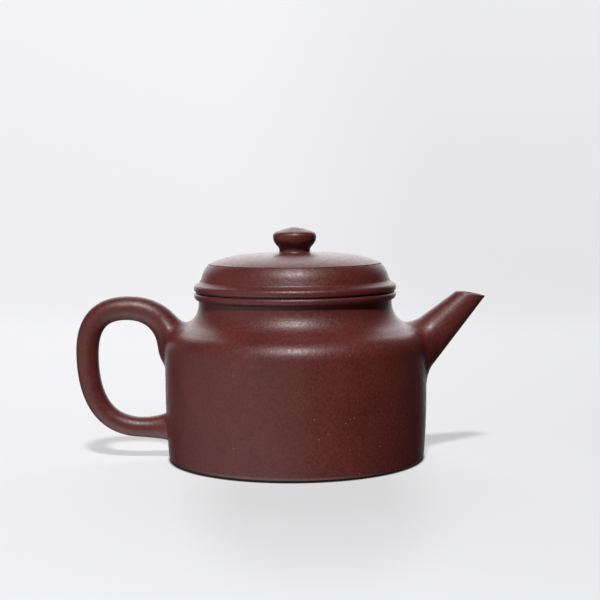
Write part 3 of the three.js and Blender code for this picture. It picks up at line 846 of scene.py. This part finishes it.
def bar_point(share, angle):
    centre, along = handle_centre(share)
    if share < handle_top_share:
        swell = (1 - share / handle_top_share) ** handle_root_power
        thickness = handle_top_thickness + (handle_root_thickness - handle_top_thickness) * swell
    else:
        taper = (share - handle_top_share) / (1 - handle_top_share)
        thickness = handle_top_thickness + (handle_end_thickness - handle_top_thickness) * taper
    out = thickness / 2 * sin(angle)
    wide = thickness / 2 * handle_width_ratio * cos(angle)
    return Vector((-(centre.x - along.y * out), wide, centre.y + along.x * out))


upper_foot = footprint(-1, 10.6 * mm, 2.4 * mm, -7.6 * mm, 24 * mm)
lower_foot = footprint(-1, -22.2 * mm, -27.45 * mm, -32.6 * mm, 10.2 * mm)
handle_lines = []
for step in range(handle_steps):
    angle = 2 * pi * step / handle_steps
    rail = lambda share, a=angle: bar_point(share, a)
    up_share = (1 + sin(angle)) / 2
    middle = (handle_top_share + 1) / 2
    start = leave_at(rail, middle, 0, spread_at(
        angle, handle_spread_top, handle_spread_bottom, handle_spread_sides))
    end = leave_at(rail, middle, 1, handle_spread_end)
    ease = handle_pull_ease * up_share
    upper = spread_line(
        rail, start, start + handle_heading_step, upper_foot, angle,
        handle_tube_pull - ease, handle_pot_pull + ease, 24)
    lower = spread_line(
        rail, end, end - handle_heading_step, lower_foot, -angle,
        handle_end_tube_pull, handle_end_pot_pull, 18)
    bar = [rail(start + (end - start) * i / 130) for i in range(1, 130)]
    upper_buried = upper_foot(angle, handle_buried_share, -root_bury)
    lower_buried = lower_foot(-angle, handle_buried_share, -root_bury)
    handle_lines.append([upper_buried, *reversed(upper), *bar, *lower, lower_buried])
handle_rings = [list(ring) for ring in zip(*handle_lines)]
skinned_piece("fired_handle", handle_rings, rolled_clay, "pot", "handle", False)

# Lid flange
# The ring under the lid that drops into the mouth with a hair of play and keeps the lid on when
# tea is poured. Its lower edge is bevelled so that it finds the mouth.
flange_low, flange_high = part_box("lid_flange")
flange_radius = mouth_radius - 0.3 * mm
flange_inner = flange_radius - 2 * mm
turned_piece(
    "fired_lid_flange",
    [
        (flange_inner, flange_low.z, 0.5 * mm),
        (flange_radius - 0.6 * mm, flange_low.z, 0.3 * mm),
        (flange_radius, flange_low.z + 0.6 * mm, 0.3 * mm),
        (flange_radius, flange_high.z),
        (flange_inner, flange_high.z),
    ],
    "lid", "lid_flange",
)

# Lid slab ring
# The outer part of the lid's slab. Its thin lip rests on the mouth bead and shows as a fine line
# between the two beads.
slab_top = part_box("lid_slab_ring")[1].z
lip_radius = neck_radius + 0.45 * mm
lip_top = seat + 0.45 * mm
slab_radius = neck_radius - 0.75 * mm
turned_piece(
    "fired_lid_slab_ring",
    [
        (flange_inner, seat),
        (lip_radius, seat, 0.12 * mm),
        (lip_radius, lip_top, 0.12 * mm),
        (slab_radius, lip_top),
        (slab_radius, slab_top),
        (flange_inner, slab_top),
    ],
    "lid", "lid_slab_ring",
)

# Lid bead
# A roll of clay luted on the lid's edge and turned to match the mouth bead, so that the two read
# as one pair of lips with a dark line between them. It is smoothed up into the lid's side.
lid_bead_ledge = 0.12 * mm
lid_bead_inner = slab_radius + lid_bead_ledge
lid_bead_crown = 1.35 * mm
lid_bead_under = 0.45 * mm
lid_bead_radius = bead_radius + 0.05 * mm
lid_bead_belly = lip_top + 1.15 * mm
bead_under_arc = arc(
    (lid_bead_radius - lid_bead_under, lid_bead_belly),
    (lid_bead_under, lid_bead_belly - lip_top), -90, 0, 16)
bead_crown_arc = arc(
    (lid_bead_radius - lid_bead_crown, lid_bead_belly),
    (lid_bead_crown, lid_bead_crown), 0, 52, 16)
crown_end = Vector(bead_crown_arc[-1])
bead_top_inner = Vector((lid_bead_inner, slab_top))
bead_slope = Vector((lid_bead_inner + 0.16 * mm, slab_top - 0.5 * mm))
turned_piece(
    "fired_lid_bead",
    [
        (lid_bead_inner, lip_top),
        *bead_under_arc,
        *bead_crown_arc[1:],
        *[tuple(p) for p in bezier([crown_end, bead_slope, bead_top_inner], 12)[1:]],
    ],
    "lid", "lid_bead",
)

# Lid shoulder ring
# The side of the lid, a ring that leans in and is rounded over towards the top. The top disc is
# let in on its ledge, and both edges of that seam are eased with a wet finger.
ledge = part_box("lid_shoulder_ring")[1].z
seam_drop = 0.1 * mm
seam = ledge - seam_drop
side_lean = radians(18)
side_turn = radians(41)
side_straight_share = 0.56
disc_radius = slab_radius - 2.8 * mm
ledge_inner = disc_radius - 2.8 * mm
seam_depth = 0.7 * mm
seam_easing = 0.3 * mm
side_foot = Vector((slab_radius, slab_top))
side_up = Vector((-sin(side_lean), cos(side_lean)))
side_in = Vector((-sin(side_turn), cos(side_turn)))
side_seam = Vector((disc_radius, seam))
to_seam = side_seam - side_foot
across = side_up.x * side_in.y - side_up.y * side_in.x
side_bend = side_foot + side_up * ((to_seam.x * side_in.y - to_seam.y * side_in.x) / across)
side_eased = side_seam - side_in * seam_easing
side_turn_start = side_foot.lerp(side_bend, side_straight_share)
side_face = [
    *bezier([side_foot, side_turn_start], 4),
    *bezier([side_turn_start, side_bend, side_eased], 26)[1:],
    *bezier([side_eased, side_seam, Vector((disc_radius, seam - seam_easing))], 8)[1:],
]
turned_piece(
    "fired_lid_shoulder_ring",
    [
        (flange_inner, slab_top),
        *[tuple(p) for p in side_face],
        (disc_radius, seam - seam_depth),
        (ledge_inner, seam - seam_depth),
    ],
    "lid", "lid_shoulder_ring",
)

# Lid top disc
# A thin disc of clay, flat in the middle and falling at its rim, let in on the ledge. Its seam is
# a fine dark line round the lid, and the vent hole goes through its middle.
dome_height = 3.5 * mm + seam_drop
dome_power = 4
disc_thickness = 2.3 * mm
seam_gap = 0.28 * mm
disc_rim = disc_radius - seam_gap
disc_easing_reach = 0.14 * mm
vent_radius = 0.9 * mm
vent_flare = 1 * mm
knob_seat_radius = 6.6 * mm
hollow_start = 3 * mm


def dome(radius, full, rise):
    return radius, seam + rise * (1 - (radius / full) ** dome_power)


knob_seat = dome(knob_seat_radius, disc_radius, dome_height)[1]
dome_edge = disc_rim - disc_easing_reach
dome_run = dome_edge - knob_seat_radius
dome_radii = [knob_seat_radius + dome_run * sin(pi / 2 * i / 40) for i in range(41)]
hollow_rise = dome_height - disc_thickness
under_radii = [hollow_start + (ledge_inner - hollow_start) * i / 14 for i in range(15)]
disc_easing = [
    Vector((disc_rim, seam - disc_easing_reach)), Vector(dome(disc_rim, disc_radius, dome_height)),
    Vector(dome(dome_edge, disc_radius, dome_height))]
turned_piece(
    "fired_lid_top_disc",
    [
        (disc_rim, seam - seam_depth),
        *[tuple(p) for p in bezier(disc_easing, 8)],
        *[dome(radius, disc_radius, dome_height) for radius in dome_radii[-2::-1]],
        (vent_radius, knob_seat),
        (vent_radius + vent_flare, seam + hollow_rise, 0.3 * mm),
        *[dome(radius, ledge_inner, hollow_rise) for radius in under_radii],
        (ledge_inner, seam - seam_depth),
    ],
    "lid", "lid_top_disc",
)

# Knob
# A button rolled from a ball of clay and turned to a narrow neck with a spread foot. A needle
# hole runs down through it, so that air gets in as the tea is poured.
knob_low, knob_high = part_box("knob")
knob_radius = (knob_high.y - knob_low.y) / 2
knob_height = knob_high.z - knob_low.z
knob_belly_height = 5.6 * mm
knob_neck_radius = 5.37 * mm
knob_neck_height = 1.1 * mm
knob_foot_radius = 6 * mm
crown_swell = 0.22 * mm


def on_knob(radius, height):
    return Vector((radius, knob_low.z + height))


knob_belly = on_knob(knob_radius, knob_belly_height)
knob_neck = on_knob(knob_neck_radius, knob_neck_height)
knob_spread = [on_knob(knob_foot_radius, 0), on_knob(knob_neck_radius, 0), knob_neck]
cove_rise = knob_belly_height - knob_neck_height
crown_rise = knob_height - knob_belly_height
# The curves' points stand at shares of the knob's radius, and of the rise above neck or belly.
crown_start = on_knob(0.57 * knob_radius, knob_belly_height + 0.754 * crown_rise)
knob_cove = [
    knob_neck,
    on_knob(knob_neck_radius, knob_neck_height + 0.3 * cove_rise),
    on_knob(knob_radius, knob_neck_height + 0.42 * cove_rise),
    knob_belly,
]
knob_edge = [
    knob_belly,
    on_knob(knob_radius, knob_belly_height + 0.528 * crown_rise),
    on_knob(0.854 * knob_radius, knob_belly_height + 0.543 * crown_rise),
    crown_start,
]
vent_top = on_knob(vent_radius, knob_height)
crown_middle = (crown_start + vent_top) / 2 + Vector((0, crown_swell))
knob_crown = [crown_start, crown_middle, vent_top]
turned_piece(
    "fired_knob",
    [
        tuple(on_knob(vent_radius, 0)),
        *[tuple(p) for p in bezier(knob_spread, 8)],
        *[tuple(p) for p in bezier(knob_cove, 18)[1:]],
        *[tuple(p) for p in bezier(knob_edge, 14)[1:]],
        *[tuple(p) for p in bezier(knob_crown, 8)[1:-1]],
        (*vent_top, 0.3 * mm),
    ],
    "lid", "knob",
)

# Floor
# A wide sheet of white paper that sweeps up all round, as in a small photo studio. It glows with
# painted light, more of it further back and to the left, so that the shadows stay faint and no
# horizon shows. In front of the pot the glow is dimmed as a painted reflection of the pot, and
# close round the foot the paper is painted nearly black as a painted contact shadow, a fine dark
# line.
floor_flat = 0.75
floor_sweep = 0.7
floor_wall_top = 1.9
floor_outline = [
    (0, 0),
    (floor_flat, 0),
    *arc((floor_flat, floor_sweep), (floor_sweep, floor_sweep), -90, 0, 24),
    (floor_flat + floor_sweep, floor_wall_top),
]
floor_mesh = bpy.data.meshes.new("paper_sweep")
floor_work = bmesh.new()
floor_line = [floor_work.verts.new((r, 0, z)) for r, z in floor_outline]
floor_edges = [floor_work.edges.new(pair) for pair in zip(floor_line, floor_line[1:])]
bmesh.ops.spin(
    floor_work, geom=floor_line + floor_edges, axis=(0, 0, 1), cent=(0, 0, 0),
    angle=2 * pi, steps=96, use_merge=True)
bmesh.ops.remove_doubles(floor_work, verts=floor_work.verts, dist=mm)
bmesh.ops.recalc_face_normals(floor_work, faces=floor_work.faces)
floor_work.to_mesh(floor_mesh)
floor_work.free()
floor_mesh.shade_smooth()
floor = add_object("paper_sweep", floor_mesh)
floor.visible_diffuse = False
floor.visible_glossy = False
floor.visible_shadow = False


def smooth_ramp(tree, value, start, end, start_result, end_result):
    return add_node(tree, "ShaderNodeMapRange", {
        "Value": value, "From Min": start, "From Max": end,
        "To Min": start_result, "To Max": end_result,
    }, interpolation_type="SMOOTHSTEP").outputs["Result"]


def distance_round(tree, place, shift, stretch):
    """How far a place is from the origin once it has been stretched and shifted."""
    moved = add_node(tree, "ShaderNodeMapping", {
        "Vector": place, "Location": shift, "Scale": stretch})
    return add_node(tree, "ShaderNodeVectorMath", {
        "Vector": moved.outputs["Vector"]}, operation="LENGTH").outputs["Value"]


paper = bpy.data.materials.new("white_paper")
paper.use_nodes = True
paper_tree = paper.node_tree
paper_place = add_node(paper_tree, "ShaderNodeTexCoord").outputs["Object"]
paper_split = add_node(paper_tree, "ShaderNodeSeparateXYZ", {"Vector": paper_place}).outputs
# Painted reflection: the distance from a patch in front of the pot where the glow is dimmed,
# standing for the pot's dark reflection in the paper.
painted_pot_reflection = distance_round(paper_tree, paper_place, (-0.01, 0.028, 0), (1, 0.4, 1))
round_foot = distance_round(paper_tree, paper_place, (-axis_x, 0, 0), (1, 1, 0))
painted_floor_glow = 0
# Painted light: the glow rises towards the back and the backdrop, is brighter to the left, and
# dims in a patch in front of the pot.
for measure, start, end, start_glow, end_glow in (
    (paper_split["Y"], -0.15, 0.45, 0.43, 0.59),
    (paper_split["Y"], 0.5, 1.4, 0, 0.11),
    (paper_split["X"], -0.1, 0.2, 0.04, -0.045),
    (painted_pot_reflection, 0.02, 0.045, -0.08, 0),
):
    ramp = smooth_ramp(paper_tree, measure, start, end, start_glow, end_glow)
    painted_floor_glow = maths(paper_tree, "ADD", ramp, painted_floor_glow)
# Painted contact shadow: close round the foot the paper's colour and glow fall nearly to black.
contact_shadow_inner = pot_radius - 1.5 * mm
contact_shadow_outer = pot_radius - 0.1 * mm
clear_of_painted_shadow = smooth_ramp(paper_tree, round_foot, contact_shadow_inner, contact_shadow_outer, 0.04, 1)
paper_colour = add_node(paper_tree, "ShaderNodeMix", {
    "Factor": clear_of_painted_shadow, "A": (0, 0, 0, 1), "B": (0.32, 0.32, 0.325, 1)}, data_type="RGBA")
feed(paper_tree, paper_tree.nodes["Principled BSDF"], {
    "Base Color": paper_colour.outputs["Result"],
    "Roughness": 0.9,
    "Specular IOR Level": 0,
    "Emission Color": (0.985, 0.985, 1, 1),
    "Emission Strength": maths(paper_tree, "MULTIPLY", painted_floor_glow, clear_of_painted_shadow),
})
floor_mesh.materials.append(paper)

# Light
# A small soft box, above and in front. The studio air is dim, apart from a bright backdrop behind
# the pot and softer glows from the left in front and from the table.
world = bpy.data.worlds.new("studio_air")
world.use_nodes = True
air = world.node_tree
look = add_node(air, "ShaderNodeTexCoord").outputs["Generated"]
air_glow = 0.012
for toward, edge, full, strength in (
    ((0, 0.95, 0.31), 0.72, 0.96, 3.2),
    ((-0.78, -0.55, -0.3), 0.25, 0.95, 0.57),
    ((-0.2, -0.25, -0.95), 0.6, 0.95, 1.5),
):
    facing = add_node(air, "ShaderNodeVectorMath", {0: look, 1: toward}, operation="DOT_PRODUCT")
    glow = smooth_ramp(air, facing.outputs["Value"], edge, full, 0, strength)
    air_glow = maths(air, "ADD", glow, air_glow)
feed(air, air.nodes["Background"], {"Color": (0.97, 0.98, 1, 1), "Strength": air_glow})
bpy.context.scene.world = world


def soft_box(name, azimuth, elevation, distance, width, height, power):
    """A soft box that faces the pot: azimuth 0 is the camera's side and 90 the spout's."""
    target = Vector((axis_x, 0, 40 * mm))
    a = radians(azimuth)
    e = radians(elevation)
    away = Vector((sin(a) * cos(e), -cos(a) * cos(e), sin(e)))
    data = bpy.data.lights.new(name, "AREA")
    data.shape = "RECTANGLE"
    data.size = width
    data.size_y = height
    data.energy = power
    light = add_object(name, data)
    light.location = target + away * distance
    light.rotation_euler = away.to_track_quat("Z", "Y").to_euler()


soft_box("front_soft_box", -3, 55, 1.6, 0.17, 0.15, 28)

bpy.context.scene.view_settings.view_transform = "Standard"
